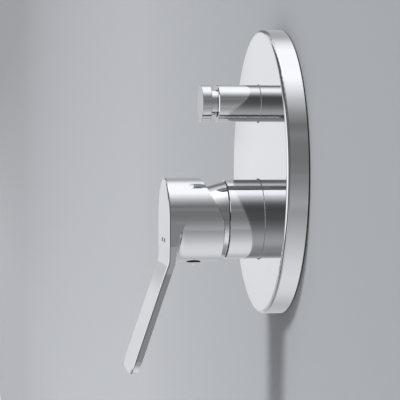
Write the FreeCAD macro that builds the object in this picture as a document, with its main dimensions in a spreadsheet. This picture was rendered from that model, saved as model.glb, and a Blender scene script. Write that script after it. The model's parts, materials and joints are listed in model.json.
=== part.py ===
import FreeCAD, Part
import math
import os
import Sketcher
from FreeCAD import Placement, Rotation, Vector

# Concealed single-lever bath and shower mixer with a pull diverter.
# Row frame: origin on the finished wall face at the middle of the wall plate, X to the right,
# Y into the wall, Z up. Reach is the distance out of the wall, so reach is minus Y, and rise is
# the height over the middle of the plate.

document = FreeCAD.newDocument("ShowerMixer")
sheet = document.addObject("Spreadsheet::Sheet", "Sizes")

# Driving dimensions in millimetres and degrees, by piece
sizes = {
    # wall plate and its seals
    "plateDiameter": 170, "plateReach": 13, "plateWall": 1.8, "plateEdgeRound": 2,
    "gasketThick": 0.8, "gasketWidth": 5, "gasketInset": 0.4,
    "collarWall": 1.8, "collarDepth": 5, "collarClear": 0.4, "collarRound": 0.5,
    "collarSealThick": 2.5, "collarSealClear": 0.03, "collarSealWidth": 2.4,
    # the two axes, from the middle of the plate
    "mainDrop": 28.4, "diverterRise": 41,
    # main sleeve and dome
    "sleeveDiameter": 47.6, "sleeveWall": 1.2, "sleeveReach": 33.6, "sleeveFoot": 3,
    "sleeveChamfer": 0.2, "seamGap": 0.5, "seamSealClear": 0.04,
    "domeBaseDiameter": 46, "domeNoseDiameter": 39.2, "domeReach": 45.6, "domeWall": 1.5,
    "domeHoleDiameter": 29, "domeNoseRound": 1.2, "domeSkirtDepth": 9, "domeThreadClear": 0.05,
    "domeSkirtClear": 0.1,
    # handle
    "handleDiameter": 50, "handleReach": 70.3, "handleRear": 37.6, "rearCutAngle": 24.5,
    "rearFootAngle": 0, "cavityDiameter": 46.4, "cavityReach": 55, "coreDiameter": 18,
    "coreRear": 47.2, "webWidth": 12, "blendRound": 6.5,
    # lever
    "leverThick": 4.3, "leverWidth": 46, "leverAngle": 18.9, "bendDrop": 23.9, "bendRound": 16,
    "leverLength": 70, "leverCorner": 8.5, "leverEdge": 1.2, "shoulderDrop": 15,
    "taperEnd": 31,
    # hot and cold marks
    "markDrop": 12, "markWidth": 4.6, "markHeight": 2.4, "markSpacing": 10, "markDepth": 0.4,
    # stem, insert and screw
    "stemWidth": 8, "stemReach": 64, "pivotReach": 38.2, "ballReach": 25, "ballDiameter": 6,
    "ballNeck": 4.4, "insertWall": 1.4, "insertClear": 0.06, "insertReach": 65.8,
    "socketClear": 0.05, "screwReach": 52.2, "screwDiameter": 5, "screwLength": 9, "screwHex": 2.5,
    "screwClear": 0.04, "plugDiameter": 8.8, "plugBulge": 1.5, "plugGap": 0.5,
    "plugShankDiameter": 7, "plugShankDepth": 1.4, "plugSeatClear": 0.1,
    # cartridge
    "seatReach": 10, "baseThick": 4, "baseDiameter": 34.6, "discThick": 3.5,
    "fixedDiscDiameter": 29.4, "movingDiscDiameter": 24, "discOffset": 2.5, "carrierThick": 5.4,
    "housingDiameter": 35, "housingNeckDiameter": 31.6, "housingWall": 2.1, "housingReach": 39,
    "housingStep": 24, "housingLip": 2, "guideDiameter": 24.4, "guideReach": 41.5,
    "guideFlangeDiameter": 30.4, "guideFlangeReach": 36.9, "guideRear": 28.4,
    "guideClear": 0.06, "slotHeight": 17.6, "slotWidth": 8.5, "pinDiameter": 2.4,
    "pinLength": 21, "pinClear": 0.03, "ballClear": 0.25,
    "inletPortOffset": 6.5, "inletPortDrop": 5, "mixedPortRise": 9, "portDiameter": 7,
    "portSealRing": 9.4, "portSealSection": 1.6,
    "nutReach": 35, "nutAcross": 36, "nutThreadDiameter": 37.8, "nutThreadDepth": 5,
    "nutClear": 0.1,
    # body
    "neckDiameter": 42.6, "neckReach": 30, "neckBoreDiameter": 35.2, "chamberDiameter": 49,
    "chamberRear": 42, "inletSpan": 116, "inletDepth": 14, "pipeDiameter": 23,
    "portBossDiameter": 27, "portBossLength": 18, "waterDiameter": 13, "inletEnd": 2,
    "threadBoreDiameter": 18.6, "threadBoreLength": 15,
    "riserDiameter": 19, "mixedDepth": 33, "mixedDiameter": 11, "bathDepth": 49.5,
    "bathDiameter": 21, "bathEnd": 102, "showerEnd": 78, "showerDepth": 16, "webThick": 14,
    "lugSpanX": 76, "lugSpanZ": 70, "lugHoleDiameter": 6.6, "lugWidth": 16, "lugThick": 6,
    "lugRear": 48, "neckSealReach": 18, "neckSealSection": 1.2,
    # diverter valve
    "valveDiameter": 29, "valveMouth": 4, "valveRear": 60, "frontBoreDiameter": 20,
    "showerSeatDepth": 24, "bathSeatDepth": 42, "seatThick": 3, "seatBoreDiameter": 11,
    "middleBoreDiameter": 16, "rearBoreDiameter": 18.4, "washerDiameter": 15, "washerThick": 3.4,
    "bonnetThreadDepth": 6, "bonnetHexAcross": 26, "bonnetHexThick": 4, "bonnetDiameter": 19.2,
    "bonnetReach": 24, "springRoomDiameter": 13, "springRoomReach": 13.5, "spindleDiameter": 6,
    "spindleReach": 40, "spindleEnd": 56, "spindleClear": 0.05, "clipDiameter": 10.6,
    "clipThick": 1.2, "clipDepth": 2.6, "springWire": 0.9, "springMean": 9.2, "springTurns": 6,
    "pullTravel": 8, "endPlugThick": 5, "endPlugAcross": 22,
    "endPlugThread": 4, "spindleSealSection": 1.5, "spindleSealFirst": 16.5,
    "spindleSealPitch": 3.6, "bonnetSealSection": 1.4, "plugSealThick": 1,
    # diverter sleeve and knob
    "divSleeveDiameter": 22, "divSleeveWall": 1.3, "divSleeveReach": 38.3, "divSleeveFoot": 3,
    "divSleeveChamfer": 0.5, "divSleeveLip": 2.2, "knobDiameter": 21.8, "knobRear": 42.3,
    "knobReach": 48, "knobNeckDiameter": 16.4, "knobNeckRear": 27, "knobRound": 0.3,
    "knobRearRound": 0.3, "knobClear": 0.15, "knobBoreClear": 0.02,
}


class Length:
    """A number together with the sheet expression that gives it."""

    def __init__(self, value, text):
        self.value = float(value)
        self.text = text

    def join(self, other, sign, result):
        return Length(result, "(%s %s %s)" % (self.text, sign, length(other).text))

    def __add__(self, other):
        return self.join(other, "+", self.value + length(other).value)

    def __sub__(self, other):
        return self.join(other, "-", self.value - length(other).value)

    def __mul__(self, other):
        return self.join(other, "*", self.value * length(other).value)

    def __truediv__(self, other):
        return self.join(other, "/", self.value / length(other).value)

    def __neg__(self):
        return Length(-self.value, "(0 - %s)" % self.text)

    def __radd__(self, other):
        return length(other) + self

    def __rsub__(self, other):
        return length(other) - self

    def __rmul__(self, other):
        return length(other) * self


def length(number):
    return number if isinstance(number, Length) else Length(number, repr(float(number)))


def sine(angle):
    return Length(math.sin(math.radians(angle.value)), "sin(%s)" % angle.text)


def cosine(angle):
    return Length(math.cos(math.radians(angle.value)), "cos(%s)" % angle.text)


def tangent(angle):
    return Length(math.tan(math.radians(angle.value)), "tan(%s)" % angle.text)


class Dimensions:
    """The sheet's cells, by name."""

    def __init__(self, table):
        for row, (alias, value) in enumerate(table.items(), start=1):
            sheet.set("A%d" % row, alias)
            sheet.set("B%d" % row, str(value))
            sheet.setAlias("B%d" % row, alias)
            setattr(self, alias, Length(value, "Sizes.%s" % alias))


d = Dimensions(sizes)
document.recompute()

zero = Length(0, "0")
mainRise = -d.mainDrop
valveRise = d.diverterRise
nodes = []


# Small tools for placing and drawing

def bind(item, prop, size):
    item.setExpression(prop, size.text)


def put(item, x, reach, rise, rotation):
    """Stand an object at a place of the row frame, turned by a rotation."""
    item.Placement = Placement(Vector(length(x).value, -length(reach).value, length(rise).value),
                               rotation)
    bind(item, "Placement.Base.x", length(x))
    bind(item, "Placement.Base.y", -length(reach))
    bind(item, "Placement.Base.z", length(rise))
    return item


outward = Rotation(Vector(1, 0, 0), 90)
rightward = Rotation(Vector(0, 1, 0), 90)
upward = Rotation()
sideView = Rotation(Vector(0, -1, 0), Vector(0, 0, 1), Vector(-1, 0, 0), "XYZ")


def node(item, name):
    item.Label = name
    nodes.append(item)
    return item


def closedOutline(sketch, corners):
    """Draw a closed polygon whose corners are tied to the sheet."""
    last = len(corners)
    spots = [(length(u), length(v)) for u, v in corners]
    for i in range(last):
        a = spots[i]
        b = spots[(i + 1) % last]
        sketch.addGeometry(Part.LineSegment(Vector(a[0].value, a[1].value, 0),
                                            Vector(b[0].value, b[1].value, 0)), False)
    for i in range(last):
        sketch.addConstraint(Sketcher.Constraint("Coincident", i, 2, (i + 1) % last, 1))
    for i, spot in enumerate(spots):
        for kind, axis, size in (("DistanceX", -2, spot[0]), ("DistanceY", -1, spot[1])):
            if size.text == "0" or size.value == 0:
                sketch.addConstraint(Sketcher.Constraint("PointOnObject", i, 1, axis))
            else:
                index = sketch.addConstraint(
                    Sketcher.Constraint(kind, -1, 1, i, 1, size.value))
                sketch.setExpression("Constraints[%d]" % index, size.text)


def turned(name, rise, outline, x=zero):
    """A turned piece on an axis square to the wall, from its (radius, reach) outline."""
    body = document.addObject("PartDesign::Body", name + "Body")
    sketch = body.newObject("Sketcher::SketchObject", name + "Outline")
    plane = [item for item in body.Origin.OriginFeatures if item.Role == "XZ_Plane"][0]
    sketch.AttachmentSupport = [(plane, "")]
    sketch.MapMode = "FlatFace"
    closedOutline(sketch, outline)
    turn = body.newObject("PartDesign::Revolution", name + "Turn")
    turn.Profile = (sketch, [""])
    turn.ReferenceAxis = (sketch, ["V_Axis"])
    turn.Angle = 360
    put(body, x, zero, rise, outward)
    return body


def circleEdges(shape, radius, along):
    """Names of the circles of one radius whose centre is at one height of the local Z."""
    found = []
    for index, edge in enumerate(shape.Edges, start=1):
        curve = edge.Curve
        if isinstance(curve, Part.Circle) and abs(curve.Radius - radius) < 1e-4:
            if abs(curve.Center.z - along) < 1e-4:
                found.append("Edge%d" % index)
    return found


def dressEdge(body, kind, radius, reach, size):
    """Round or chamfer the circular edge of a turned piece."""
    document.recompute()
    tip = body.Tip
    edges = circleEdges(tip.Shape, radius.value, reach.value)
    feature = body.newObject("PartDesign::" + kind, body.Name + kind + str(len(body.Group)))
    feature.Base = (tip, edges)
    bind(feature, "Radius" if kind == "Fillet" else "Size", size)
    return feature


def rod(name, diameter, start, end, rise, x=zero):
    """A round bar square to the wall, between two reaches."""
    bar = document.addObject("Part::Cylinder", name)
    bind(bar, "Radius", length(diameter) / 2)
    bind(bar, "Height", length(end) - length(start))
    return put(bar, x, start, rise, outward)


def barAlongX(name, diameter, start, end, reach, rise):
    bar = document.addObject("Part::Cylinder", name)
    bind(bar, "Radius", length(diameter) / 2)
    bind(bar, "Height", length(end) - length(start))
    return put(bar, start, reach, rise, rightward)


def barAlongZ(name, diameter, start, end, reach, x=zero):
    bar = document.addObject("Part::Cylinder", name)
    bind(bar, "Radius", length(diameter) / 2)
    bind(bar, "Height", length(end) - length(start))
    return put(bar, x, reach, start, upward)


def block(name, xs, reaches, rises):
    """A box between two places on each axis."""
    box = document.addObject("Part::Box", name)
    bind(box, "Length", length(xs[1]) - length(xs[0]))
    bind(box, "Width", length(reaches[1]) - length(reaches[0]))
    bind(box, "Height", length(rises[1]) - length(rises[0]))
    return put(box, xs[0], reaches[1], rises[0], upward)


def fuse(name, items):
    joined = document.addObject("Part::MultiFuse", name)
    joined.Shapes = items
    joined.Refine = True
    return joined


def cut(name, base, tools):
    """Take one or more tools away from a base."""
    tool = tools[0] if len(tools) == 1 else fuse(name + "Tools", tools)
    result = document.addObject("Part::Cut", name)
    result.Base = base
    result.Tool = tool
    result.Refine = True
    return result


def cutInTurn(name, base, tools):
    """Take tools away one after another, for a casting whose bores run into each other."""
    for count, tool in enumerate(tools):
        base = cut("%s%02d" % (name, count), base, [tool])
    return base


def common(name, items):
    result = document.addObject("Part::MultiCommon", name)
    result.Shapes = items
    result.Refine = True
    return result


def ring(name, mean, section, reach, rise, x=zero):
    """A round rubber ring about an axis square to the wall, from its mean and section diameters."""
    torus = document.addObject("Part::Torus", name)
    bind(torus, "Radius1", length(mean) / 2)
    bind(torus, "Radius2", length(section) / 2)
    return put(torus, x, reach, rise, outward)


def hexBar(name, across, start, end, rise):
    """A hexagonal bar square to the wall, from its width across the flats."""
    prism = document.addObject("Part::Prism", name)
    prism.Polygon = 6
    bind(prism, "Circumradius", length(across) / 2 / cosine(Length(30, "30")))
    bind(prism, "Height", length(end) - length(start))
    return put(prism, zero, start, rise, outward)


def slab(name, corners, halfWidth, rise):
    """A slab seen from the side: its (reach, rise) outline, extruded both ways along X."""
    sketch = document.addObject("Sketcher::SketchObject", name + "Outline")
    closedOutline(sketch, corners)
    put(sketch, zero, zero, rise, sideView)
    body = document.addObject("Part::Extrusion", name)
    body.Base = sketch
    body.DirMode = "Normal"
    body.Solid = True
    body.Symmetric = True
    bind(body, "LengthFwd", halfWidth * 2)
    return body


def prismFromFront(name, corners, start, end, rise):
    """A prism seen from the front: its (x, rise) outline, extruded between two reaches."""
    sketch = document.addObject("Sketcher::SketchObject", name + "Outline")
    closedOutline(sketch, corners)
    put(sketch, zero, start, rise, outward)
    body = document.addObject("Part::Extrusion", name)
    body.Base = sketch
    body.DirMode = "Normal"
    body.Solid = True
    bind(body, "LengthFwd", length(end) - length(start))
    return body


def rounded(name, base, choose, radius):
    """Round the edges of a shape that a test picks."""
    document.recompute()
    picked = [index for index, edge in enumerate(base.Shape.Edges, start=1) if choose(edge)]
    feature = document.addObject("Part::Fillet", name)
    feature.Base = base
    feature.Edges = [(index, radius.value, radius.value) for index in picked]
    return feature


# Wall plate: a pressed round shell with a turned-in rim and a collar round each hole

plateRadius = d.plateDiameter / 2
plateRear = d.gasketThick
collarRear = d.plateReach - d.plateWall - d.collarDepth
mainHoleRadius = d.sleeveDiameter / 2 + d.collarClear
valveHoleRadius = d.divSleeveDiameter / 2 + d.collarClear


def escutcheon():
    shell = turned("plateShell", zero, [
        (zero, d.plateReach), (plateRadius, d.plateReach), (plateRadius, plateRear),
        (plateRadius - d.plateWall, plateRear),
        (plateRadius - d.plateWall, d.plateReach - d.plateWall),
        (zero, d.plateReach - d.plateWall)])
    dressEdge(shell, "Fillet", plateRadius, d.plateReach, d.plateEdgeRound)
    inside = d.plateReach - d.plateWall / 2
    collars = []
    for name, radius, rise in (("main", mainHoleRadius, mainRise),
                               ("valve", valveHoleRadius, valveRise)):
        collars.append(rod(name + "Collar", (radius + d.collarWall) * 2, collarRear, inside, rise))
    holes = []
    for name, radius, rise in (("main", mainHoleRadius, mainRise),
                               ("valve", valveHoleRadius, valveRise)):
        holes.append(rod(name + "Hole", radius * 2, zero, d.plateReach + 1, rise))
    pressed = cut("escutcheonCut", fuse("plateWithCollars", [shell] + collars), holes)

    def atHoleRim(edge):
        curve = edge.Curve
        small = isinstance(curve, Part.Circle) and curve.Radius < mainHoleRadius.value + 0.01
        return small and abs(curve.Center.y + d.plateReach.value) < 1e-4
    return node(rounded("escutcheonRims", pressed, atHoleRim, d.collarRound), "escutcheon")


def escutcheonSeals():
    outer = plateRadius - d.gasketInset
    node(turned("gasket", zero, [
        (outer - d.gasketWidth, zero), (outer, zero), (outer, d.gasketThick),
        (outer - d.gasketWidth, d.gasketThick)]), "escutcheon_gasket")
    for name, diameter, rise in (("main_collar_seal", d.sleeveDiameter, mainRise),
                                 ("diverter_collar_seal", d.divSleeveDiameter, valveRise)):
        inner = diameter / 2 + d.collarSealClear
        rear = collarRear - d.collarSealThick
        node(turned(name.replace("_", ""), rise, [
            (inner, rear), (inner + d.collarSealWidth, rear),
            (inner + d.collarSealWidth, collarRear), (inner, collarRear)]), name)


# Main sleeve, and the dome that screws on the neck in front of it

neckRadius = d.neckDiameter / 2


def mainSleeve():
    outer = d.sleeveDiameter / 2
    inner = outer - d.sleeveWall
    sleeve = turned("sleeve", mainRise, [
        (inner, d.sleeveFoot), (outer, d.sleeveFoot), (outer, d.sleeveReach),
        (inner, d.sleeveReach)])
    dressEdge(sleeve, "Chamfer", outer, d.sleeveReach, d.sleeveChamfer)
    node(sleeve, "main_sleeve")
    node(ring("neckSeal", d.neckDiameter + d.neckSealSection * 1.04, d.neckSealSection,
              d.neckSealReach, mainRise), "neck_seal")


def dome():
    base = d.domeBaseDiameter / 2
    nose = d.domeNoseDiameter / 2
    hole = d.domeHoleDiameter / 2
    skirtInner = neckRadius + d.domeThreadClear
    skirtOuter = d.sleeveDiameter / 2 - d.sleeveWall - d.domeSkirtClear
    skirtRear = d.sleeveReach - d.domeSkirtDepth
    seam = d.sleeveReach + d.seamGap
    shoulder = d.neckReach + 0.2
    cap = turned("domeCap", mainRise, [
        (skirtInner, skirtRear), (skirtOuter, skirtRear), (skirtOuter, seam),
        (base, seam), (nose, d.domeReach), (hole, d.domeReach),
        (hole, d.domeReach - d.domeWall), (nose - d.domeWall, d.domeReach - d.domeWall),
        (base - d.domeWall, seam), (base - d.domeWall, shoulder),
        (skirtInner, shoulder)])
    dressEdge(cap, "Fillet", nose, d.domeReach, d.domeNoseRound)
    node(cap, "dome")
    inner = skirtOuter + d.seamSealClear
    node(turned("seamSealTurn", mainRise, [
        (inner, d.sleeveReach + d.seamSealClear), (base - 0.1, d.sleeveReach + d.seamSealClear),
        (base - 0.1, seam - d.seamSealClear), (inner, seam - d.seamSealClear)]), "seam_seal")


# Handle: one casting, a barrel cut back at the rear so that it can tilt over the dome,
# with a flat strip across its front that bends out of the wall into the lever

def frontRim(shape, outwardShare):
    """Edges between the faces that look out of the wall and the rest."""
    def looksOut(face):
        u0, u1, v0, v1 = face.ParameterRange
        normal = face.normalAt((u0 + u1) / 2, (v0 + v1) / 2)
        return -normal.y > outwardShare
    counts = {}
    for face in shape.Faces:
        if looksOut(face):
            for edge in face.Edges:
                key = edge.hashCode()
                counts[key] = counts.get(key, 0) + 1
    return {key for key, count in counts.items() if count == 1}


def leverStrip():
    half = d.handleDiameter / 2
    front = d.handleReach
    run = sine(d.leverAngle)
    fall = cosine(d.leverAngle)
    past = d.leverLength + 6
    endReach = front + past * run
    endRise = -d.bendDrop - past * fall
    rearShift = d.leverThick * tangent(d.leverAngle / 2)
    side = slab("stripSide", [
        (front, half + 1), (front, -d.bendDrop), (endReach, endRise),
        (endReach - d.leverThick * fall, endRise - d.leverThick * run),
        (front - d.leverThick, -d.bendDrop - rearShift), (front - d.leverThick, half + 1)],
        half + 2, mainRise)
    bendRise = mainRise.value - d.bendDrop.value

    def atBend(edge):
        middle = edge.CenterOfMass
        return edge.Length > d.handleDiameter.value and abs(middle.z - bendRise) < 1.5
    bent = rounded("stripBent", side, atBend, d.bendRound)
    width = d.leverWidth / 2
    low = -d.bendDrop - d.leverLength * fall
    tail = prismFromFront("stripTail", [
        (half, zero), (half, -d.shoulderDrop), (width, -d.taperEnd), (width, low),
        (-width, low), (-width, -d.taperEnd), (-half, -d.shoulderDrop), (-half, zero)],
        front - d.leverThick * 2, endReach + 5, mainRise)
    lowRise = mainRise.value + low.value

    def atEnd(edge):
        box = edge.BoundBox
        return abs(box.ZMax - lowRise) < 1e-3 and abs(box.ZMin - lowRise) < 1e-3 and \
            box.YLength > 5
    tailRound = rounded("stripTailRound", tail, atEnd, d.leverCorner)
    disc = rod("stripDisc", d.handleDiameter, front - d.leverThick * 2, endReach + 5, mainRise)
    outline = fuse("stripOutline", [tailRound, disc])
    strip = common("stripSharp", [bent, outline])
    document.recompute()
    rim = frontRim(strip.Shape, 0.5)
    return rounded("stripRounded", strip, lambda edge: edge.hashCode() in rim, d.leverEdge)


def handle():
    half = d.handleDiameter / 2
    cutTop = d.handleRear + half * tangent(d.rearCutAngle)
    foot = d.handleRear - half * tangent(d.rearFootAngle)
    stripRear = d.handleReach - d.leverThick
    side = slab("barrelSide", [
        (foot, -half), (stripRear, -half), (stripRear, half), (cutTop, half),
        (d.handleRear, zero)], half + 1, mainRise)
    barrel = common("barrel", [side, rod("barrelRound", d.handleDiameter,
                                         d.handleRear - half, stripRear, mainRise)])
    wide = half + d.blendRound
    blend = turned("blendRing", mainRise, [
        (half - 1, stripRear - d.blendRound), (wide, stripRear - d.blendRound),
        (wide, stripRear + 0.5), (half - 1, stripRear + 0.5)])
    hollowRound = ring("blendHollow", wide * 2, d.blendRound * 2, stripRear - d.blendRound,
                       mainRise)
    edge = d.leverWidth / 2 - 0.05
    under = prismFromFront("blendRoom", [
        (half - 0.05, zero), (half - 0.05, -d.shoulderDrop), (edge, -d.taperEnd),
        (edge, -wide - 1), (-edge, -wide - 1), (-edge, -d.taperEnd),
        (-half + 0.05, -d.shoulderDrop), (-half + 0.05, zero)],
        stripRear - d.blendRound - 1, stripRear + 0.3, mainRise)
    blend = cut("blendRingCut", blend, [hollowRound])
    seat = barAlongZ("plugSeat", d.plugDiameter + d.plugSeatClear * 2, mainRise - wide - 1,
                     mainRise, d.screwReach)
    fillet = cut("blendSeated", common("blendUnder", [blend, under]), [seat])
    casting = fuse("casting", [barrel, leverStrip(), fillet])
    cavity = rod("cavityRound", d.cavityDiameter, d.handleRear - half, d.cavityReach, mainRise)
    core = rod("cavityCore", d.coreDiameter, d.coreRear, d.cavityReach + 1, mainRise)
    web = block("cavityWeb", (-d.webWidth / 2, d.webWidth / 2), (d.coreRear, d.cavityReach + 1),
                (mainRise - half, mainRise))
    hollow = cut("cavity", cavity, [core, web])
    socketHalf = d.stemWidth / 2 + d.insertWall + d.insertClear + d.socketClear
    socket = block("socket", (-socketHalf, socketHalf), (d.coreRear - 1, d.insertReach + 0.2),
                   (mainRise - socketHalf, mainRise + socketHalf))
    screwBore = barAlongZ("screwBore", d.screwDiameter + d.screwClear * 2, mainRise - half - 1,
                          mainRise, d.screwReach)
    plugBore = barAlongZ("plugBore", d.plugShankDiameter + d.screwClear * 2,
                         mainRise - half - 1, mainRise - half + d.plugShankDepth + 0.6,
                         d.screwReach)
    tools = [hollow, socket, screwBore, plugBore]
    for name, side in (("hot", -1), ("cold", 1)):
        tools.append(markBlock(name + "Pocket", side, 1))
    node(cut("handleCut", casting, tools), "handle")


def markBlock(name, side, extra):
    """The small enamel field of one mark, or its pocket when extra lifts its front."""
    middle = d.markSpacing / 2 * side
    return block(name, (middle - d.markWidth / 2, middle + d.markWidth / 2),
                 (d.handleReach - d.markDepth, d.handleReach + extra),
                 (mainRise - d.markDrop - d.markHeight / 2,
                  mainRise - d.markDrop + d.markHeight / 2))


def marks():
    for name, side in (("hot_mark", -1), ("cold_mark", 1)):
        node(markBlock(name.replace("_", ""), side, 0), name)


def screwPlug():
    head = document.addObject("Part::Sphere", "plugHead")
    radius = d.plugDiameter / 2
    ball = (radius * radius + d.plugBulge * d.plugBulge) / (d.plugBulge * 2)
    bottom = mainRise - d.handleDiameter / 2
    rim = bottom - d.plugGap
    bind(head, "Radius", ball)
    put(head, zero, d.screwReach, rim - d.plugBulge + ball, upward)
    room = barAlongZ("plugRoom", d.plugDiameter, rim - d.plugBulge - 1, rim, d.screwReach)
    cap = common("plugCap", [head, room])
    shank = barAlongZ("plugShank", d.plugShankDiameter, rim - d.plugBulge / 2,
                      bottom + d.plugShankDepth, d.screwReach)
    node(fuse("plugWhole", [cap, shank]), "screw_plug")
    disc = barAlongZ("plugRingDisc", d.plugDiameter - 0.4, rim + 0.02, bottom + 2, d.screwReach)
    core = barAlongZ("plugRingCore", d.plugShankDiameter + 0.08, rim - 1, bottom + 3,
                     d.screwReach)
    barrel = rod("plugRingTrim", d.handleDiameter + 0.04, d.handleRear, d.handleReach, mainRise)
    node(cut("plugRingCut", disc, [core, barrel]), "plug_ring")


# Stem and what fastens the handle on it

def stem():
    half = d.stemWidth / 2
    bar = block("stemBar", (-half, half), (d.guideRear + 1, d.stemReach),
                (mainRise - half, mainRise + half))
    neck = rod("stemNeck", d.ballNeck, d.ballReach, d.guideRear + 2, mainRise)
    ball = document.addObject("Part::Sphere", "stemBall")
    bind(ball, "Radius", d.ballDiameter / 2)
    put(ball, zero, d.ballReach, mainRise, upward)
    hole = barAlongX("stemPinHole", d.pinDiameter + d.pinClear * 2, -half - 1, half + 1,
                     d.pivotReach, mainRise)
    node(cut("stemCut", fuse("stemWhole", [bar, neck, ball]), [hole]), "stem")


def handleInsert():
    inner = d.stemWidth / 2 + d.insertClear
    outer = inner + d.insertWall
    sleeve = block("insertOuter", (-outer, outer), (d.coreRear, d.insertReach),
                   (mainRise - outer, mainRise + outer))
    bore = block("insertBore", (-inner, inner), (d.coreRear - 1, d.stemReach + 0.4),
                 (mainRise - inner, mainRise + inner))
    hole = barAlongZ("insertHole", d.screwDiameter + d.screwClear * 4, mainRise - outer - 1,
                     mainRise, d.screwReach)
    node(cut("insertCut", sleeve, [bore, hole]), "handle_insert")


def grubScrew():
    tip = mainRise - d.stemWidth / 2 - d.screwClear
    shank = barAlongZ("screwShank", d.screwDiameter, tip - d.screwLength, tip, d.screwReach)
    key = document.addObject("Part::Prism", "screwKey")
    key.Polygon = 6
    bind(key, "Circumradius", d.screwHex / 2 / cosine(Length(30, "30")))
    bind(key, "Height", d.screwHex + 1)
    put(key, zero, d.screwReach, tip - d.screwLength - 1, upward)
    node(cut("screwCut", shank, [key]), "grub_screw")


# Cartridge: base, two ceramic discs, carrier, turning stem guide, housing and nut

baseFront = d.seatReach + d.baseThick
fixedFront = baseFront + d.discThick
movingFront = fixedFront + d.discThick
carrierFront = movingFront + d.carrierThick
ports = (("hot", -d.inletPortOffset, -d.inletPortDrop),
         ("cold", d.inletPortOffset, -d.inletPortDrop),
         ("mixed", zero, d.mixedPortRise))


def cartridgeFixedParts():
    base = rod("baseDisc", d.baseDiameter, d.seatReach, baseFront, mainRise)
    tools = []
    rings = []
    for name, x, rise in ports:
        tools.append(rod(name + "BasePort", d.portDiameter, d.seatReach - 1, baseFront + 1,
                         mainRise + rise, x))
        tools.append(ring(name + "Groove", d.portSealRing, d.portSealSection * 1.02,
                          d.seatReach + d.portSealSection / 2, mainRise + rise, x))
        rings.append(ring(name + "PortSeal", d.portSealRing, d.portSealSection,
                          d.seatReach + d.portSealSection / 2, mainRise + rise, x))
    node(cut("baseCut", base, tools), "cartridge_base")
    group = document.addObject("Part::Compound", "portSeals")
    group.Links = rings
    node(group, "port_seals")
    disc = rod("fixedDisc", d.fixedDiscDiameter, baseFront, fixedFront, mainRise)
    holes = [rod(name + "DiscPort", d.portDiameter, baseFront - 1, fixedFront + 1,
                 mainRise + rise, x) for name, x, rise in ports]
    node(cut("fixedDiscCut", disc, holes), "fixed_ceramic_disc")


def cartridgeMovingParts():
    centre = mainRise + d.discOffset
    disc = rod("movingDisc", d.movingDiscDiameter, fixedFront, movingFront, centre)
    pocket = rod("movingPocket", d.movingDiscDiameter - 9, fixedFront - 1,
                 fixedFront + d.discThick / 2, centre)
    node(cut("movingDiscCut", disc, [pocket]), "moving_ceramic_disc")
    carrier = rod("carrierDisc", d.movingDiscDiameter, movingFront, carrierFront, centre)
    well = d.ballDiameter / 2 + d.ballClear
    socket = rod("carrierWell", well * 2, d.ballReach - well, carrierFront + 1, mainRise)
    slope = rod("carrierMouth", well * 2 + 3, d.ballReach + 0.5, carrierFront + 1, mainRise)
    node(cut("carrierCut", carrier, [socket, slope]), "disc_carrier")


def stemGuide():
    guide = turned("guideTurn", mainRise, [
        (zero, d.guideRear), (d.guideFlangeDiameter / 2, d.guideRear),
        (d.guideFlangeDiameter / 2, d.guideFlangeReach), (d.guideDiameter / 2, d.guideFlangeReach),
        (d.guideDiameter / 2, d.guideReach), (zero, d.guideReach)])
    slot = block("guideSlot", (-d.slotWidth / 2, d.slotWidth / 2),
                 (d.guideRear - 1, d.guideReach + 1),
                 (mainRise - d.slotHeight / 2, mainRise + d.slotHeight / 2))
    hole = barAlongX("guidePinHole", d.pinDiameter + d.pinClear * 2, -d.guideDiameter,
                     d.guideDiameter, d.pivotReach, mainRise)
    node(cut("guideCut", guide, [slot, hole]), "stem_guide")
    node(barAlongX("pivotPin", d.pinDiameter, -d.pinLength / 2, d.pinLength / 2,
                   d.pivotReach, mainRise), "pivot_pin")


def cartridgeHousing():
    outer = d.housingDiameter / 2
    neck = d.housingNeckDiameter / 2
    inner = d.guideFlangeDiameter / 2 + d.guideClear * 2
    lip = d.guideDiameter / 2 + d.guideClear
    lipRear = d.guideFlangeReach + d.guideClear
    node(turned("housingTurn", mainRise, [
        (inner, baseFront), (outer, baseFront), (outer, d.housingStep), (neck, d.housingStep),
        (neck, d.housingReach), (lip, d.housingReach), (lip, lipRear), (inner, lipRear)]),
        "cartridge_housing")


def cartridgeNut():
    hexagon = hexBar("nutHex", d.nutAcross, d.neckReach, d.nutReach, mainRise)
    thread = rod("nutThread", d.nutThreadDiameter, d.housingStep, d.neckReach + 1, mainRise)
    bore = rod("nutBore", d.housingNeckDiameter + d.nutClear * 2, d.housingStep - 1,
               d.nutReach + 1, mainRise)
    node(cut("nutCut", fuse("nutWhole", [hexagon, thread]), [bore]), "cartridge_nut")


# Body: one brass casting with two chambers square to the wall, joined by the mixed water's riser

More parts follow.
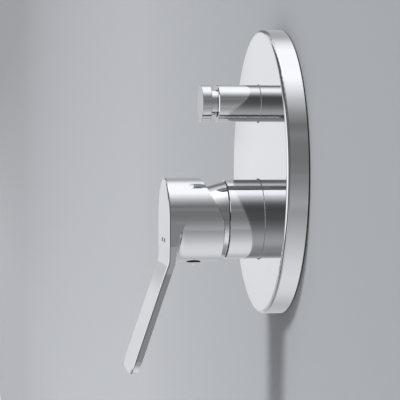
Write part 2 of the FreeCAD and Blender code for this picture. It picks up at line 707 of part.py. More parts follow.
def valveBody():
    inletHalf = d.inletSpan / 2
    inletReach = -d.inletDepth
    solids = [
        rod("neck", d.neckDiameter, -1, d.neckReach, mainRise),
        rod("chamber", d.chamberDiameter, -d.chamberRear, zero, mainRise),
        barAlongX("inletPipe", d.pipeDiameter, -inletHalf, inletHalf, inletReach, mainRise),
        barAlongX("hotBoss", d.portBossDiameter, -inletHalf, -inletHalf + d.portBossLength,
                  inletReach, mainRise),
        barAlongX("coldBoss", d.portBossDiameter, inletHalf - d.portBossLength, inletHalf,
                  inletReach, mainRise),
        barAlongZ("riser", d.riserDiameter, mainRise, valveRise, -d.mixedDepth),
        rod("valveChamber", d.valveDiameter, -d.valveRear, -d.valveMouth, valveRise),
        barAlongZ("showerPipe", d.pipeDiameter, valveRise, d.showerEnd, -d.showerDepth),
        barAlongZ("showerBoss", d.portBossDiameter, d.showerEnd - d.portBossLength,
                  d.showerEnd, -d.showerDepth),
        barAlongZ("bathPipe", d.bathDiameter, -d.bathEnd, valveRise, -d.bathDepth),
        barAlongZ("bathBoss", d.portBossDiameter, -d.bathEnd, -d.bathEnd + d.portBossLength,
                  -d.bathDepth),
        block("bodyWeb", (-d.webThick / 2, d.webThick / 2), (-d.bathDepth, -d.inletDepth),
              (mainRise, valveRise)),
        block("footWeb", (-d.webThick / 2, d.webThick / 2),
              (-d.bathDepth, -d.chamberRear + d.lugThick),
              (mainRise - d.lugSpanZ / 2 - d.lugWidth / 2, mainRise)),
    ]
    lugFront = -d.lugRear + d.lugThick
    holes = []
    for up in (-1, 1):
        rise = mainRise + d.lugSpanZ / 2 * up
        solids.append(block("lugBar%d" % (up + 1), (-d.lugSpanX / 2, d.lugSpanX / 2),
                            (-d.lugRear, lugFront),
                            (rise - d.lugWidth / 2, rise + d.lugWidth / 2)))
        for side in (-1, 1):
            x = d.lugSpanX / 2 * side
            tag = "%d%d" % (up + 1, side + 1)
            solids.append(rod("lugEnd" + tag, d.lugWidth, -d.lugRear, lugFront, rise, x))
            holes.append(rod("lugHole" + tag, d.lugHoleDiameter, -d.lugRear - 1, lugFront + 1,
                             rise, x))
    bores = holes + [
        rod("cartridgeBore", d.neckBoreDiameter, d.seatReach, d.neckReach + 1, mainRise),
        rod("nutBoreThread", d.nutThreadDiameter + d.nutClear, d.housingStep,
            d.neckReach + 1, mainRise),
        rod("mixedDrill", d.portDiameter, -d.mixedDepth, d.seatReach + 1,
            mainRise + d.mixedPortRise),
        barAlongZ("mixedRiser", d.mixedDiameter, mainRise + d.mixedPortRise - d.portDiameter / 2 - 1,
                  valveRise, -d.mixedDepth),
        barAlongZ("showerWater", d.waterDiameter, valveRise, d.showerEnd + 1, -d.showerDepth),
        barAlongZ("showerThread", d.threadBoreDiameter, d.showerEnd - d.threadBoreLength,
                  d.showerEnd + 1, -d.showerDepth),
        barAlongZ("bathWater", d.waterDiameter, -d.bathEnd - 1, valveRise, -d.bathDepth),
        barAlongZ("bathThread", d.threadBoreDiameter, -d.bathEnd - 1,
                  -d.bathEnd + d.threadBoreLength, -d.bathDepth),
        rod("valveFrontBore", d.frontBoreDiameter, -d.showerSeatDepth, -d.valveMouth + 1,
            valveRise),
        rod("valveSeats", d.seatBoreDiameter, -d.bathSeatDepth - 1, -d.showerSeatDepth + 1,
            valveRise),
        rod("valveMiddleBore", d.middleBoreDiameter, -d.bathSeatDepth + d.seatThick,
            -d.showerSeatDepth - d.seatThick, valveRise),
        rod("valveRearBore", d.rearBoreDiameter, -d.valveRear - 1, -d.bathSeatDepth, valveRise),
    ]
    for name, side in (("hot", -1), ("cold", 1)):
        x = d.inletPortOffset * side
        bores.append(rod(name + "Drill", d.portDiameter, inletReach, d.seatReach + 1,
                         mainRise - d.inletPortDrop, x))
        if side < 0:
            run = (-inletHalf - 1, -d.inletEnd)
            mouth = (-inletHalf - 1, -inletHalf + d.threadBoreLength)
        else:
            run = (d.inletEnd, inletHalf + 1)
            mouth = (inletHalf - d.threadBoreLength, inletHalf + 1)
        bores.append(barAlongX(name + "Water", d.waterDiameter, run[0], run[1], inletReach,
                               mainRise))
        bores.append(barAlongX(name + "Thread", d.threadBoreDiameter, mouth[0], mouth[1],
                               inletReach, mainRise))
    node(cutInTurn("bodyCut", fuse("bodySolid", solids), bores), "valve_body")


# Diverter valve: a spindle with one washer in front of the shower seat and one behind the bath seat

def diverterBonnet():
    front = d.bonnetReach
    thread = rod("bonnetThread", d.frontBoreDiameter - d.nutClear,
                 -d.valveMouth - d.bonnetThreadDepth, -d.valveMouth + 1, valveRise)
    hexagon = hexBar("bonnetHex", d.bonnetHexAcross, -d.valveMouth,
                     -d.valveMouth + d.bonnetHexThick, valveRise)
    tube = rod("bonnetTube", d.bonnetDiameter, -d.valveMouth, front, valveRise)
    springRoom = rod("bonnetSpringRoom", d.springRoomDiameter,
                     -d.valveMouth - d.bonnetThreadDepth - 1, d.springRoomReach, valveRise)
    guide = rod("bonnetGuide", d.spindleDiameter + d.spindleClear * 2, d.springRoomReach - 1,
                front + 1, valveRise)
    tools = [springRoom, guide]
    rings = []
    mean = d.spindleDiameter + d.spindleSealSection + d.spindleClear
    for count in range(2):
        reach = d.spindleSealFirst + d.spindleSealPitch * count
        tools.append(ring("spindleGroove%d" % count, mean, d.spindleSealSection * 1.02, reach,
                          valveRise))
        rings.append(ring("spindleSeal%d" % count, mean, d.spindleSealSection, reach, valveRise))
    node(cut("bonnetCut", fuse("bonnetWhole", [thread, hexagon, tube]), tools),
         "diverter_bonnet")
    group = document.addObject("Part::Compound", "spindleSeals")
    group.Links = rings
    node(group, "spindle_seals")
    node(ring("bonnetSeal", d.bonnetDiameter + d.bonnetSealSection * 1.04, d.bonnetSealSection,
              d.bonnetHexThick - d.valveMouth + 2, valveRise), "bonnet_seal")


showerWasherDepth = d.showerSeatDepth - d.washerThick
bathWasherDepth = d.bathSeatDepth + d.pullTravel


def diverterSpindle():
    radius = d.spindleDiameter / 2
    collar = d.seatBoreDiameter / 2 - 1
    node(turned("spindleTurn", valveRise, [
        (zero, -d.spindleEnd), (radius, -d.spindleEnd), (radius, -bathWasherDepth),
        (collar, -bathWasherDepth), (collar, -bathWasherDepth + 1.2),
        (radius, -bathWasherDepth + 1.2), (radius, -showerWasherDepth + 1.2),
        (radius, d.spindleReach), (zero, d.spindleReach)]), "diverter_spindle")
    for name, depth in (("shower_washer", d.showerSeatDepth), ("bath_washer", bathWasherDepth +
                                                               d.washerThick)):
        hole = radius + 0.05
        node(turned(name.replace("_", ""), valveRise, [
            (hole, -depth), (d.washerDiameter / 2, -depth),
            (d.washerDiameter / 2, -depth + d.washerThick), (hole, -depth + d.washerThick)]),
            name)
    hole = radius + 0.05
    clipRear = -d.clipDepth
    node(turned("clipTurn", valveRise, [
        (hole, clipRear), (d.clipDiameter / 2, clipRear),
        (d.clipDiameter / 2, clipRear + d.clipThick), (hole, clipRear + d.clipThick)]),
        "spindle_clip")


def diverterSpring():
    """Coil spring between the bonnet's shoulder and the clip on the spindle."""
    start = -sizes["clipDepth"] + sizes["clipThick"] + sizes["springWire"] / 2
    end = sizes["springRoomReach"] - sizes["springWire"] / 2
    pitch = (end - start) / sizes["springTurns"]
    coil = Part.makeHelix(pitch, end - start, sizes["springMean"] / 2)
    section = Part.Wire([Part.makeCircle(sizes["springWire"] / 2,
                                         Vector(sizes["springMean"] / 2, 0, 0),
                                         Vector(0, 1, 0))])
    wire = Part.Wire(coil.Edges).makePipeShell([section], True, True)
    spring = document.addObject("Part::Feature", "diverterSpring")
    spring.Shape = wire
    spring.Placement = Placement(Vector(0, -start, sizes["diverterRise"]), outward)
    node(spring, "diverter_spring")


def chamberPlug():
    thread = rod("plugThread", d.rearBoreDiameter - d.nutClear, -d.valveRear,
                 -d.valveRear + d.endPlugThread - 0.6, valveRise)
    rear = -d.valveRear - d.plugSealThick
    neck = rod("endPlugNeck", d.rearBoreDiameter - d.nutClear, rear - 1, -d.valveRear + 1,
               valveRise)
    head = hexBar("plugHex", d.endPlugAcross, rear - d.endPlugThick, rear, valveRise)
    node(fuse("plugBody", [thread, neck, head]), "chamber_plug")
    hole = d.rearBoreDiameter / 2 + 0.05
    node(turned("plugSealTurn", valveRise, [
        (hole, rear), (d.endPlugAcross / 2, rear), (d.endPlugAcross / 2, -d.valveRear),
        (hole, -d.valveRear)]), "plug_seal")


# Diverter sleeve and pull knob

def diverterSleeve():
    outer = d.divSleeveDiameter / 2
    inner = outer - d.divSleeveWall
    lip = d.knobNeckDiameter / 2 + d.knobClear
    sleeve = turned("valveSleeve", valveRise, [
        (inner, d.divSleeveFoot), (outer, d.divSleeveFoot), (outer, d.divSleeveReach),
        (lip, d.divSleeveReach), (lip, d.divSleeveReach - d.divSleeveLip),
        (inner, d.divSleeveReach - d.divSleeveLip)])
    dressEdge(sleeve, "Chamfer", outer, d.divSleeveReach, d.divSleeveChamfer)
    node(sleeve, "diverter_sleeve")


def diverterKnob():
    radius = d.knobDiameter / 2
    neck = d.knobNeckDiameter / 2
    bore = d.spindleDiameter / 2 + d.knobBoreClear
    knob = turned("knobTurn", valveRise, [
        (bore, d.knobNeckRear), (neck, d.knobNeckRear), (neck, d.knobRear),
        (radius, d.knobRear), (radius, d.knobReach), (zero, d.knobReach),
        (zero, d.spindleReach + 0.1), (bore, d.spindleReach + 0.1)])
    dressEdge(knob, "Fillet", radius, d.knobReach, d.knobRound)
    dressEdge(knob, "Fillet", radius, d.knobRear, d.knobRearRound)
    node(knob, "diverter_knob")


def build():
    escutcheon()
    escutcheonSeals()
    mainSleeve()
    dome()
    handle()
    marks()
    screwPlug()
    stem()
    handleInsert()
    grubScrew()
    cartridgeFixedParts()
    cartridgeMovingParts()
    stemGuide()
    cartridgeHousing()
    cartridgeNut()
    valveBody()
    diverterBonnet()
    diverterSpindle()
    diverterSpring()
    chamberPlug()
    diverterSleeve()
    diverterKnob()
    document.recompute()


def check():
    for item in document.Objects:
        if {"Invalid", "Error"} & set(item.State):
            raise RuntimeError("failed: %s %s" % (item.Name, item.State))
    for item in nodes:
        if item.Shape.isNull() or not item.Shape.isValid():
            raise RuntimeError("bad shape: %s" % item.Label)


def write():
    os.makedirs("parts", exist_ok=True)
    for item in nodes:
        item.Shape.exportStep("parts/%s.step" % item.Label)
        print("%-22s solids %d volume %9.1f mm3" % (item.Label, len(item.Shape.Solids),
                                                    item.Shape.Volume))


build()
check()
write()
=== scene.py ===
import json
import math
import bmesh
import bpy
from mathutils import Matrix, Vector


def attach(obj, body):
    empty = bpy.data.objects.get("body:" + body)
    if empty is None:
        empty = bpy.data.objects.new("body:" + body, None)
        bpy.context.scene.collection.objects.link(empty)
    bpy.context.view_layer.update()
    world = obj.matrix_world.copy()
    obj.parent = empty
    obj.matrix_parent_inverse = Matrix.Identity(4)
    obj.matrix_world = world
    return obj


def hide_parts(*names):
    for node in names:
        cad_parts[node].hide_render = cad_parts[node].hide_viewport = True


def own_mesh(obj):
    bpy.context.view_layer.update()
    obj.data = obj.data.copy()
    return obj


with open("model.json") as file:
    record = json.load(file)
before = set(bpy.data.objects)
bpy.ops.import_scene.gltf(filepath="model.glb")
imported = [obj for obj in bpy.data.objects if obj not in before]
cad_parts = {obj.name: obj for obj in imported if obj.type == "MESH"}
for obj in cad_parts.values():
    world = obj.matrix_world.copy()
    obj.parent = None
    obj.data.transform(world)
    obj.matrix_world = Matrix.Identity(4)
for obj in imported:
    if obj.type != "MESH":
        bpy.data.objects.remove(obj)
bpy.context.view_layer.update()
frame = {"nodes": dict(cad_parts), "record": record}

print("frame loaded,", len(frame["nodes"]), "nodes")

bpy.context.scene.view_settings.view_transform = "Standard"

mainRise = -0.0284      # heights of the two axes over the middle of the plate
valveRise = 0.041


# shader writing: sockets take part in plain arithmetic

class Wire:
    def __init__(self, sheet, socket):
        self.sheet = sheet
        self.socket = socket

    def math(self, operation, *others):
        values = dict(enumerate((self,) + others))
        return self.sheet.add("ShaderNodeMath", {"operation": operation}, values)

    def __add__(self, other):
        return self.math("ADD", other)

    def __radd__(self, other):
        return self.math("ADD", other)

    def __sub__(self, other):
        return self.math("SUBTRACT", other)

    def __rsub__(self, other):
        return self.sheet.add("ShaderNodeMath", {"operation": "SUBTRACT"}, {0: other, 1: self})

    def __mul__(self, other):
        return self.math("MULTIPLY", other)

    def __rmul__(self, other):
        return self.math("MULTIPLY", other)

    def __truediv__(self, other):
        return self.math("DIVIDE", other)

    def __rtruediv__(self, other):
        return self.sheet.add("ShaderNodeMath", {"operation": "DIVIDE"}, {0: other, 1: self})

    def __pow__(self, other):
        return self.math("POWER", other)

    def __abs__(self):
        return self.math("ABSOLUTE")

    def ramp(self, low, high):      # 0 below low, 1 above high
        return self.sheet.add("ShaderNodeMapRange", {"interpolation_type": "SMOOTHSTEP", "clamp": True},
                              {"Value": self, "From Min": low, "From Max": high})


class ShaderSheet:
    def __init__(self, tree):
        self.tree = tree
        self.tree.nodes.clear()

    def add(self, kind, settings=None, values=None, out=0):
        node = self.tree.nodes.new(kind)
        for name, value in (settings or {}).items():
            if name == "stops":
                stops = node.color_ramp.elements
                while len(stops) < len(value):
                    stops.new(0.5)
                for stop, (place, color) in zip(stops, value):
                    stop.position = place
                    stop.color = color
            else:
                setattr(node, name, value)
        for name, value in (values or {}).items():
            socket = node.inputs[name]
            if isinstance(value, Wire):
                self.tree.links.new(value.socket, socket)
            else:
                socket.default_value = value
        return Wire(self, node.outputs[out] if len(node.outputs) else None)

    def place(self):
        return self.add("ShaderNodeTexCoord", out="Object")

    def axes(self, vector):
        node = self.tree.nodes.new("ShaderNodeSeparateXYZ")
        self.tree.links.new(vector.socket, node.inputs[0])
        return [Wire(self, node.outputs[i]) for i in range(3)]

    def stretched(self, scale):
        return self.add("ShaderNodeMapping", {}, {"Vector": self.place(), "Scale": scale})

    def noise(self, scale, detail=3, rough=0.5, vector=None):
        return self.add("ShaderNodeTexNoise", {}, {"Vector": vector or self.place(), "Scale": scale,
                                                    "Detail": detail, "Roughness": rough})

    def mix(self, share, first, second):
        return self.add("ShaderNodeMix", {"data_type": "RGBA"}, {0: share, 6: first, 7: second}, out=2)

    def bump(self, height, distance):
        return self.add("ShaderNodeBump", {}, {"Height": height, "Distance": distance})

    def finish(self, shader, target="ShaderNodeOutputMaterial"):
        self.add(target, {}, {"Surface": shader})


def makeMaterial(name, write):
    material = bpy.data.materials.new(name)
    material.use_nodes = True
    sheet = ShaderSheet(material.node_tree)
    sheet.finish(write(sheet))
    return material


def rgba(red, green, blue):
    return (red, green, blue, 1.0)


def darker(color, share):
    return rgba(*(tone * share for tone in color[:3]))


# chrome: near mirror, with a faint film and the slow waviness of a plated casting

plating = {
    "color": rgba(0.619, 0.624, 0.634),
    "filmShade": 0.97,
    "roughness": 0.05,
    "filmRoughness": 0.025,
    "waveHeight": 0.000012,
}


def chromeShader(sheet):
    film = sheet.noise(38, 4, 0.6)
    wave = sheet.noise(70, 2, 0.4)
    return sheet.add("ShaderNodeBsdfPrincipled", {}, {
        "Base Color": sheet.mix(film, plating["color"], darker(plating["color"], plating["filmShade"])),
        "Metallic": 1.0,
        "Roughness": film * plating["filmRoughness"] + plating["roughness"],
        "Normal": sheet.bump(wave, plating["waveHeight"]),
    })


chrome = makeMaterial("polishedChrome", chromeShader)


# brass: sand-cast skin, brighter where a cutter has been

castBrass = {
    "skin": rgba(0.47, 0.33, 0.15),
    "cut": rgba(0.72, 0.54, 0.27),
    "stain": rgba(0.25, 0.17, 0.08),
    "skinRoughness": 0.52,
    "cutSmoother": 0.24,
    "stainRougher": 0.12,
    "grainHeight": 0.00022,
    "latheRelief": 0.12,        # this and the next are times the grain's height
    "threadRelief": 4,
}

portThread = {
    "pitch": 0.001814,
    "radius": 0.0093,
    "length": 0.015,
    "start": 0.0004,                    # over which the thread sets in, at its deep end
    "wallEdge": (0.0001, 0.0003),       # outside the radius, where it ends
    "faceEdge": (0.0002, 0.0005),       # behind a port's end, where its turned face ends
    "neckEdge": (-0.0008, -0.0003),     # the turned neck lies in front of this
    "inletEnd": 0.058, "inletDepth": 0.014,
    "showerEnd": 0.078, "showerDepth": 0.016,
    "bathEnd": -0.102, "bathDepth": 0.0495,
}


def turnedFaces(sheet):     # 1 on the ends of the ports and on the neck, which were turned
    x, y, z = sheet.axes(sheet.place())
    size = portThread
    near, deep = size["faceEdge"]
    ends = abs(x).ramp(size["inletEnd"] - deep, size["inletEnd"] - near)
    top = z.ramp(size["showerEnd"] - deep, size["showerEnd"] - near)
    bottom = 1 - z.ramp(size["bathEnd"] + near, size["bathEnd"] + deep)
    neck = 1 - y.ramp(*size["neckEdge"])
    return ends.math("MAXIMUM", top).math("MAXIMUM", bottom).math("MAXIMUM", neck)


def portThreads(sheet):     # where the four port threads are, and their ridges
    x, y, z = sheet.axes(sheet.place())
    size = portThread
    inlet = size["inletEnd"] - size["length"]
    shower = size["showerEnd"] - size["length"]
    bath = size["bathEnd"] + size["length"]
    start = size["start"]
    ports = [       # along the bore, two ways across it from its middle, and 1 where the thread runs
        (x, y - size["inletDepth"], z - mainRise, abs(x).ramp(inlet, inlet + start)),
        (z, x, y - size["showerDepth"], z.ramp(shower, shower + start)),
        (z, x, y - size["bathDepth"], 1 - z.ramp(bath - start, bath)),
    ]
    full, none = (size["radius"] + beyond for beyond in size["wallEdge"])
    where = 0
    ridges = 0
    for along, across, other, threaded in ports:
        rim = (across * across + other * other) ** 0.5
        inside = (1 - rim.ramp(full, none)) * threaded
        turn = across.math("ARCTAN2", other) / (2 * math.pi)
        wave = abs((along / size["pitch"] + turn).math("FRACT") - 0.5) * 2
        where = inside + where
        ridges = inside * wave + ridges
    return where, ridges


def brassShader(sheet):
    grain = sheet.noise(900, 5, 0.65)
    patch = sheet.noise(45, 4, 0.6)
    threaded, ridges = portThreads(sheet)
    machined = turnedFaces(sheet).math("MAXIMUM", threaded)
    lathe = sheet.noise(60, 2, 0.5, sheet.stretched((1, 60, 1)))
    skin = sheet.mix(patch.ramp(0.45, 0.75), castBrass["skin"], castBrass["stain"])
    cut = sheet.mix(lathe * 0.5, castBrass["cut"], castBrass["skin"])
    height = (grain * (1 - machined) + lathe * machined * castBrass["latheRelief"]
              + ridges * castBrass["threadRelief"])
    roughness = castBrass["skinRoughness"] - machined * castBrass["cutSmoother"]
    return sheet.add("ShaderNodeBsdfPrincipled", {}, {
        "Base Color": sheet.mix(machined, skin, cut),
        "Metallic": 1.0,
        "Roughness": roughness + patch * castBrass["stainRougher"],
        "Normal": sheet.bump(height, castBrass["grainHeight"]),
    })


brass = makeMaterial("castBrass", brassShader)


# what was turned from bar: brass and steel, with fine rings from the lathe

brassBar = {"bright": rgba(0.74, 0.56, 0.28), "worn": rgba(0.6, 0.43, 0.2), "ringHeight": 0.00003}
steelBar = {"bright": rgba(0.6, 0.6, 0.61), "worn": rgba(0.48, 0.48, 0.5), "ringHeight": 0.00002}


def turnedBrassShader(sheet):
    lathe = sheet.noise(55, 3, 0.6, sheet.stretched((1, 70, 1)))
    patch = sheet.noise(120, 3, 0.5)
    return sheet.add("ShaderNodeBsdfPrincipled", {}, {
        "Base Color": sheet.mix(patch, brassBar["bright"], brassBar["worn"]),
        "Metallic": 1.0,
        "Roughness": lathe * 0.18 + 0.2,
        "Normal": sheet.bump(lathe, brassBar["ringHeight"]),
    })


def steelShader(sheet):
    lathe = sheet.noise(70, 3, 0.6, sheet.stretched((4, 60, 4)))
    return sheet.add("ShaderNodeBsdfPrincipled", {}, {
        "Base Color": sheet.mix(lathe, steelBar["bright"], steelBar["worn"]),
        "Metallic": 1.0,
        "Roughness": lathe * 0.2 + 0.2,
        "Normal": sheet.bump(lathe, steelBar["ringHeight"]),
    })


turnedBrass = makeMaterial("turnedBrass", turnedBrassShader)
steel = makeMaterial("turnedSteel", steelShader)


sealRubber = {"black": rgba(0.02, 0.02, 0.021), "dusty": rgba(0.07, 0.07, 0.07), "roughness": 0.5}


def rubberShader(sheet):
    dust = sheet.noise(300, 4, 0.6)
    return sheet.add("ShaderNodeBsdfPrincipled", {}, {
        "Base Color": sheet.mix(dust.ramp(0.45, 0.8), sealRubber["black"], sealRubber["dusty"]),
        "Roughness": dust * 0.25 + sealRubber["roughness"],
        "Normal": sheet.bump(dust, 0.00004),
    })


rubber = makeMaterial("sealRubber", rubberShader)


lappedDisc = {"white": rgba(0.86, 0.85, 0.81), "speck": rgba(0.7, 0.69, 0.66), "roughness": 0.16}


def ceramicShader(sheet):
    speck = sheet.noise(1500, 2, 0.5)
    return sheet.add("ShaderNodeBsdfPrincipled", {}, {
        "Base Color": sheet.mix(speck.ramp(0.6, 0.75), lappedDisc["white"], lappedDisc["speck"]),
        "Roughness": speck * 0.1 + lappedDisc["roughness"],
        "Normal": sheet.bump(speck, 0.000004),
    })


ceramic = makeMaterial("lappedCeramic", ceramicShader)


mouldedPlastic = {"color": rgba(0.72, 0.71, 0.66), "flow": rgba(0.64, 0.63, 0.58), "roughness": 0.38}


def plasticShader(sheet):
    spark = sheet.noise(1400, 3, 0.5)
    flow = sheet.noise(60, 2, 0.5)
    return sheet.add("ShaderNodeBsdfPrincipled", {}, {
        "Base Color": sheet.mix(flow, mouldedPlastic["color"], mouldedPlastic["flow"]),
        "Roughness": spark * 0.15 + mouldedPlastic["roughness"],
        "Normal": sheet.bump(spark, 0.00002),
    })


cartridgePlastic = makeMaterial("cartridgePlastic", plasticShader)


platedCap = {"bright": rgba(0.93, 0.935, 0.94), "dull": rgba(0.88, 0.885, 0.89), "metallic": 0.25,
             "roughness": 0.16}


def plugShader(sheet):
    fine = sheet.noise(200, 3, 0.5)
    return sheet.add("ShaderNodeBsdfPrincipled", {}, {
        "Base Color": sheet.mix(fine, platedCap["bright"], platedCap["dull"]),
        "Metallic": platedCap["metallic"],
        "Roughness": fine * 0.08 + platedCap["roughness"],
        "Normal": sheet.bump(fine, 0.00001),
    })


platedPlastic = makeMaterial("platedPlastic", plugShader)


enamel = {
    "hot": rgba(0.13, 0.03, 0.035),
    "cold": rgba(0.015, 0.022, 0.06),
    "poolShade": 0.8,
    "roughness": 0.8,
}


def enamelShader(tone):
    def write(sheet):
        pool = sheet.noise(500, 2, 0.5)
        return sheet.add("ShaderNodeBsdfPrincipled", {}, {
            "Base Color": sheet.mix(pool, tone, darker(tone, enamel["poolShade"])),
            "Roughness": pool * 0.1 + enamel["roughness"],
            "Specular IOR Level": 0.1,
            "Normal": sheet.bump(pool, 0.00002),
        })
    return write


hotEnamel = makeMaterial("hotEnamel", enamelShader(enamel["hot"]))
coldEnamel = makeMaterial("coldEnamel", enamelShader(enamel["cold"]))

finishes = {
    "chrome": chrome, "brass": brass, "rubber": rubber, "ceramic": ceramic, "steel": steel,
    "cartridge_plastic": cartridgePlastic, "plug_plastic": platedPlastic,
    "hot_enamel": hotEnamel, "cold_enamel": coldEnamel,
}
turnedFromBar = ("cartridge_nut", "diverter_bonnet", "diverter_spindle", "chamber_plug")

slotOf = {entry["node"]: entry["material_slot"] for entry in frame["record"]["subparts"]}
for name, item in frame["nodes"].items():
    item.data.materials.clear()
    item.data.materials.append(turnedBrass if name in turnedFromBar else finishes[slotOf[name]])
print("finishes on the nodes")


# diverter spring: a wound coil with a closed turn at each end, held at rest length on the fixed body; the
# real one shortens when the knob is pulled

coil = {
    "wire": 0.0009,
    "mean": 0.0092,             # diameter of the wire's middle line
    "front": -0.0135,
    "rear": 0.0014,
    "turns": 7.5,
    "closedPitch": 0.00095,
    "travel": 0.008,
    "perTurn": 40,
    "round": 12,
}


def coilPlace(turn):        # a point of the wire's middle line after so many turns
    start = coil["front"] + coil["wire"] / 2
    run = coil["rear"] - coil["front"] - coil["wire"]
    shut = coil["closedPitch"]
    pitch = (run - 2 * shut) / (coil["turns"] - 2)
    last = coil["turns"] - 1
    between = max(0, min(turn, last) - 1)       # turns that lie apart
    y = start + min(turn, 1) * shut + between * pitch + max(0, turn - last) * shut
    angle = 2 * math.pi * turn
    radius = coil["mean"] / 2
    return Vector((math.cos(angle) * radius, y, math.sin(angle) * radius + valveRise))


def coilRings(mesh):        # rings of points round the wire, from one end to the other
    steps = int(coil["turns"] * coil["perTurn"])
    angles = [2 * math.pi * i / coil["round"] for i in range(coil["round"])]
    nudge = 0.01
    radius = coil["wire"] / 2
    rings = []
    for step in range(steps + 1):
        turn = step / coil["perTurn"]
        middle = coilPlace(turn)
        outward = (middle - Vector((0, middle.y, valveRise))).normalized()
        along = (coilPlace(turn + nudge) - coilPlace(turn - nudge)).normalized()
        across = along.cross(outward)
        rings.append([mesh.verts.new(middle + (outward * math.cos(a) + across * math.sin(a)) * radius)
                      for a in angles])
    return rings


def windSpring():
    mesh = bmesh.new()
    rings = coilRings(mesh)
    for before, after in zip(rings, rings[1:]):
        for i in range(coil["round"]):
            j = (i + 1) % coil["round"]
            mesh.faces.new((before[i], before[j], after[j], after[i]))
    mesh.faces.new(rings[0])
    mesh.faces.new(list(reversed(rings[-1])))
    bmesh.ops.recalc_face_normals(mesh, faces=mesh.faces)
    data = bpy.data.meshes.new("woundSpring")
    mesh.to_mesh(data)
    mesh.free()
    for face in data.polygons:
        face.use_smooth = len(face.vertices) == 4       # all but the two cut ends
    data.materials.append(steel)
    spring = bpy.data.objects.new("woundSpring", data)
    bpy.context.scene.collection.objects.link(spring)
    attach(spring, "fixed")
    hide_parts("diverter_spring")
    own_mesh(spring)


windSpring()
print("spring wound")


# camera: long lens, nearly square to the side of the mixer

viewpoint = {
    "azimuth": 81.33,
    "elevation": 1.70,
    "focus": 1500.0,            # in pixels of the picture
    "picture": 400,
    "sensor": 36,
    "distance": 0.9052,
    "right": -0.0476,
    "up": -0.0170,
    "nearest": 0.01,
    "farthest": 20,
}


def placeCamera():
    az = math.radians(viewpoint["azimuth"])
    el = math.radians(viewpoint["elevation"])
    ahead = Vector((-math.cos(el) * math.sin(az), math.cos(el) * math.cos(az), -math.sin(el)))
    right = Vector((math.cos(az), math.sin(az), 0))
    up = right.cross(ahead)
    spot = right * viewpoint["right"] + up * viewpoint["up"] - ahead * viewpoint["distance"]
    camera = bpy.data.objects.new("camera", bpy.data.cameras.new("camera"))
    camera.data.sensor_width = viewpoint["sensor"]
    camera.data.lens = viewpoint["sensor"] * viewpoint["focus"] / viewpoint["picture"]
    camera.data.clip_start = viewpoint["nearest"]
    camera.data.clip_end = viewpoint["farthest"]
    turn = Matrix((right, up, -ahead)).transposed().to_4x4()
    camera.matrix_world = Matrix.Translation(spot) @ turn
    bpy.context.scene.collection.objects.link(camera)
    bpy.context.scene.camera = camera


placeCamera()


# studio: soft surrounds whose brightness changes with the height angle about the mixer's axes

surround = {
    # angle from the viewer's side up and over, and brightness there
    "aside": [(-180, 0.62), (-133, 0.68), (-120, 0.87), (-110, 1.01), (-93, 1.06), (-75, 0.98), (-52, 0.7),
              (-36, 0.505), (-31, 0.465), (-24, 0.537), (-17, 0.465), (-7, 0.357), (0, 0.31), (9, 0.262),
              (22, 0.262), (30, 0.32), (34, 0.265), (38, 0.25), (48, 0.44), (60, 0.83), (70, 1.25),
              (80, 1.56), (114, 1.52), (121, 1.34), (128, 1.07), (132, 0.85), (136, 0.66), (142, 0.56),
              (172, 0.5), (180, 0.62)],
    # the same towards the room, which the tubes show by way of the plate
    "roomward": [(-180, 1.02), (-130, 0.35), (-90, 0.5), (-75, 0.65), (-62, 0.655), (-45, 0.53),
                 (-33, 0.385), (-20, 0.28), (-12, 0.215), (0, 0.15), (17, 0.134), (30, 0.115),
                 (42, 0.157), (51, 0.32), (60, 0.68), (71, 1.2), (80, 1.85), (103, 1.98), (110, 1.5),
                 (118, 0.9), (124, 0.95), (130, 0.55), (138, 0.24), (150, 0.2), (166, 0.3), (172, 1.02),
                 (180, 1.02)],
    # the same further round to the front, which the dome shows
    "domeward": [(-180, 1.02), (-130, 0.4), (-90, 0.6), (-75, 1.1), (-62, 1.15), (-45, 0.95),
                 (-33, 0.65), (-20, 0.4), (-12, 0.29), (0, 0.22), (17, 0.24), (30, 0.21), (42, 0.24),
                 (51, 0.35), (60, 0.66), (71, 1.1), (80, 1.6), (103, 1.6), (135, 0.8), (180, 1.02)],
    "strength": 2.0,
    "dark": 0.17,           # ring round the middle of the room, which draws the dark lines on rims
    "bright": 1.5,          # middle of the room
    "plateGrey": 0.75,      # what the plate sees from nearer the front
    "leverShade": 0.84,     # what the flat front of the lever sees, against the plate
    "knobShade": 0.75,
    "tint": (0.985, 1.0, 1.03),
    # where one part gives way to the next, in a direction's shares to the right, into the wall and up
    "roomEdge": (-0.05, 0.05),
    "domeEdge": (-0.3, -0.22),
    "ringEdge": (-0.48, -0.42),
    "middleEdge": (-0.9, -0.84), "middleTop": (0.5, 0.6),
    "plateSide": (-0.2, 0), "plateTop": (0.25, 0.4), "plateBottom": (-0.75, -0.55),
    "leverSide": (-0.93, -0.88), "leverBack": (-0.18, -0.165), "leverFront": (-0.1, -0.08),
    "knobBottom": (0, 0.015),
}


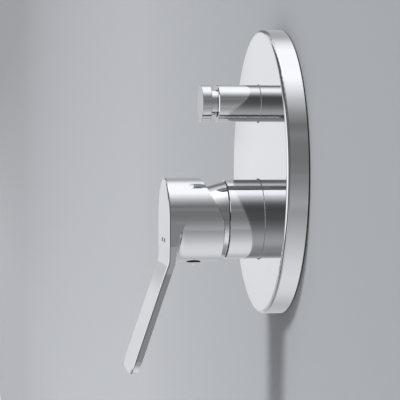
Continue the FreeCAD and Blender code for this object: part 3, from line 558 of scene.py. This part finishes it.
def buildSurround():
    world = bpy.data.worlds.new("studio")
    bpy.context.scene.world = world
    world.use_nodes = True
    sheet = ShaderSheet(world.node_tree)
    x, y, z = sheet.axes(sheet.add("ShaderNodeTexCoord", out="Generated"))
    turn = z.math("ARCTAN2", x) / (2 * math.pi) + 0.5

    def grey(level):
        return rgba(*(tone * level / surround["strength"] for tone in surround["tint"]))

    def band(name):
        stops = [((angle + 180) / 360, grey(level)) for angle, level in surround[name]]
        return sheet.add("ShaderNodeValToRGB", {"stops": stops}, {0: turn})

    def past(axis, edge):       # 1 beyond the named edge
        return axis.ramp(*surround[edge])

    glow = sheet.mix(past(y, "roomEdge"), band("roomward"), band("aside"))
    facing = (1 - past(x, "leverSide")) * past(y, "leverBack") * (1 - past(y, "leverFront"))
    leverPart = 1 - facing * (1 - surround["leverShade"])
    knobPart = 1 - facing * past(z, "knobBottom") * (1 - surround["knobShade"])
    glow = sheet.add("ShaderNodeVectorMath", {"operation": "SCALE"},
                     {0: glow, "Scale": leverPart * knobPart})
    glow = sheet.mix(1 - past(y, "domeEdge"), glow, band("domeward"))
    middle = (1 - past(y, "middleEdge")) * (1 - past(z, "middleTop"))
    aheadSide = (1 - past(x, "plateSide")) * (1 - past(z, "plateTop")) * past(z, "plateBottom")
    ring = sheet.mix(aheadSide, grey(surround["dark"]), grey(surround["plateGrey"]))
    front = sheet.mix(middle, ring, grey(surround["bright"]))
    glow = sheet.mix(1 - past(y, "ringEdge"), glow, front)
    light = sheet.add("ShaderNodeBackground", {}, {"Color": glow, "Strength": surround["strength"]})
    sheet.finish(light, "ShaderNodeOutputWorld")


buildSurround()


keyLamp = {"towards": (0.13, -1.0, 1.0), "strength": 1.2, "spread": 17.0}


def hangKeyLamp():      # throws the soft streak of shadow under the mixer
    lamp = bpy.data.objects.new("keyLamp", bpy.data.lights.new("keyLamp", "SUN"))
    lamp.data.energy = keyLamp["strength"] * math.pi
    lamp.data.angle = math.radians(keyLamp["spread"])
    lamp.rotation_euler = Vector(keyLamp["towards"]).to_track_quat("Z", "Y").to_euler()
    lamp.visible_glossy = False
    bpy.context.scene.collection.objects.link(lamp)


hangKeyLamp()


# wall, whose color carries painted shade, and floor

room = {
    "wall": rgba(0.292, 0.298, 0.31),
    # painted shade: the wall's darker color towards the mixer
    "wallNearPaintedShade": rgba(0.23, 0.238, 0.248),
    "nearEdge": (-0.75, 0.25),      # from left to right, where the wall turns to its darker near color, a painted falloff of light
    "awayEdge": (-0.9, -4.5),       # to the left, where painted shade makes it darker
    "awayPaintedShade": 0.195,
    "heightEdge": (-0.5, 0.5),      # upwards, where painted shade makes it darker too
    "heightPaintedShade": 0.2,
    "wallLight": 1.1,
    "floor": rgba(0.8, 0.8, 0.8),
    "floorWorn": rgba(0.76, 0.76, 0.76),
    "left": -12.0,
    "reach": 3.0,
    "floorDrop": 1.6,
    "wallGap": 0.0001,              # keeps the wall just behind the gasket
}


def wallFall(sheet, axis, edge, fall=1.0):      # 0 to fall over the named edge, in a straight line
    low, high = room[edge]
    return sheet.add("ShaderNodeMapRange", {},
                     {"Value": axis, "From Min": low, "From Max": high, "To Max": fall})


# painted shade: the wall's color darkens towards the mixer, far to the left and upwards
def wallShader(sheet):
    x, y, z = sheet.axes(sheet.place())
    near = wallFall(sheet, x, "nearEdge")
    away = wallFall(sheet, x, "awayEdge", room["awayPaintedShade"])
    height = wallFall(sheet, z, "heightEdge", room["heightPaintedShade"])
    tone = sheet.mix(near, room["wall"], room["wallNearPaintedShade"])
    tone = sheet.add("ShaderNodeVectorMath", {"operation": "SCALE"},
                     {0: tone, "Scale": room["wallLight"] - away - height})
    paint = sheet.add("ShaderNodeBsdfPrincipled", {}, {
        "Base Color": tone, "Roughness": 0.8, "Specular IOR Level": 0.0})
    behind = sheet.add("ShaderNodeNewGeometry", out="Backfacing")
    clear = sheet.add("ShaderNodeBsdfTransparent")
    return sheet.add("ShaderNodeMixShader", {}, {0: behind, 1: paint, 2: clear})


def floorShader(sheet):
    return sheet.add("ShaderNodeBsdfPrincipled", {}, {
        "Base Color": sheet.mix(sheet.noise(3), room["floor"], room["floorWorn"]), "Roughness": 0.7})


def flatPlane(name, corners, material):
    mesh = bpy.data.meshes.new(name)
    mesh.from_pydata(corners, [], [(0, 1, 2, 3)])
    mesh.materials.append(material)
    item = bpy.data.objects.new(name, mesh)
    bpy.context.scene.collection.objects.link(item)
    item.visible_glossy = False


def buildRoom():
    left = room["left"]
    far = room["reach"]
    low = -room["floorDrop"]
    back = room["wallGap"]
    flatPlane("wall", [(left, back, low), (far, back, low), (far, back, far), (left, back, far)],
              makeMaterial("wallPaint", wallShader))
    flatPlane("floor", [(left, -far, low), (far, -far, low), (far, back, low), (left, back, low)],
              makeMaterial("floorPaint", floorShader))


buildRoom()
print("studio ready")
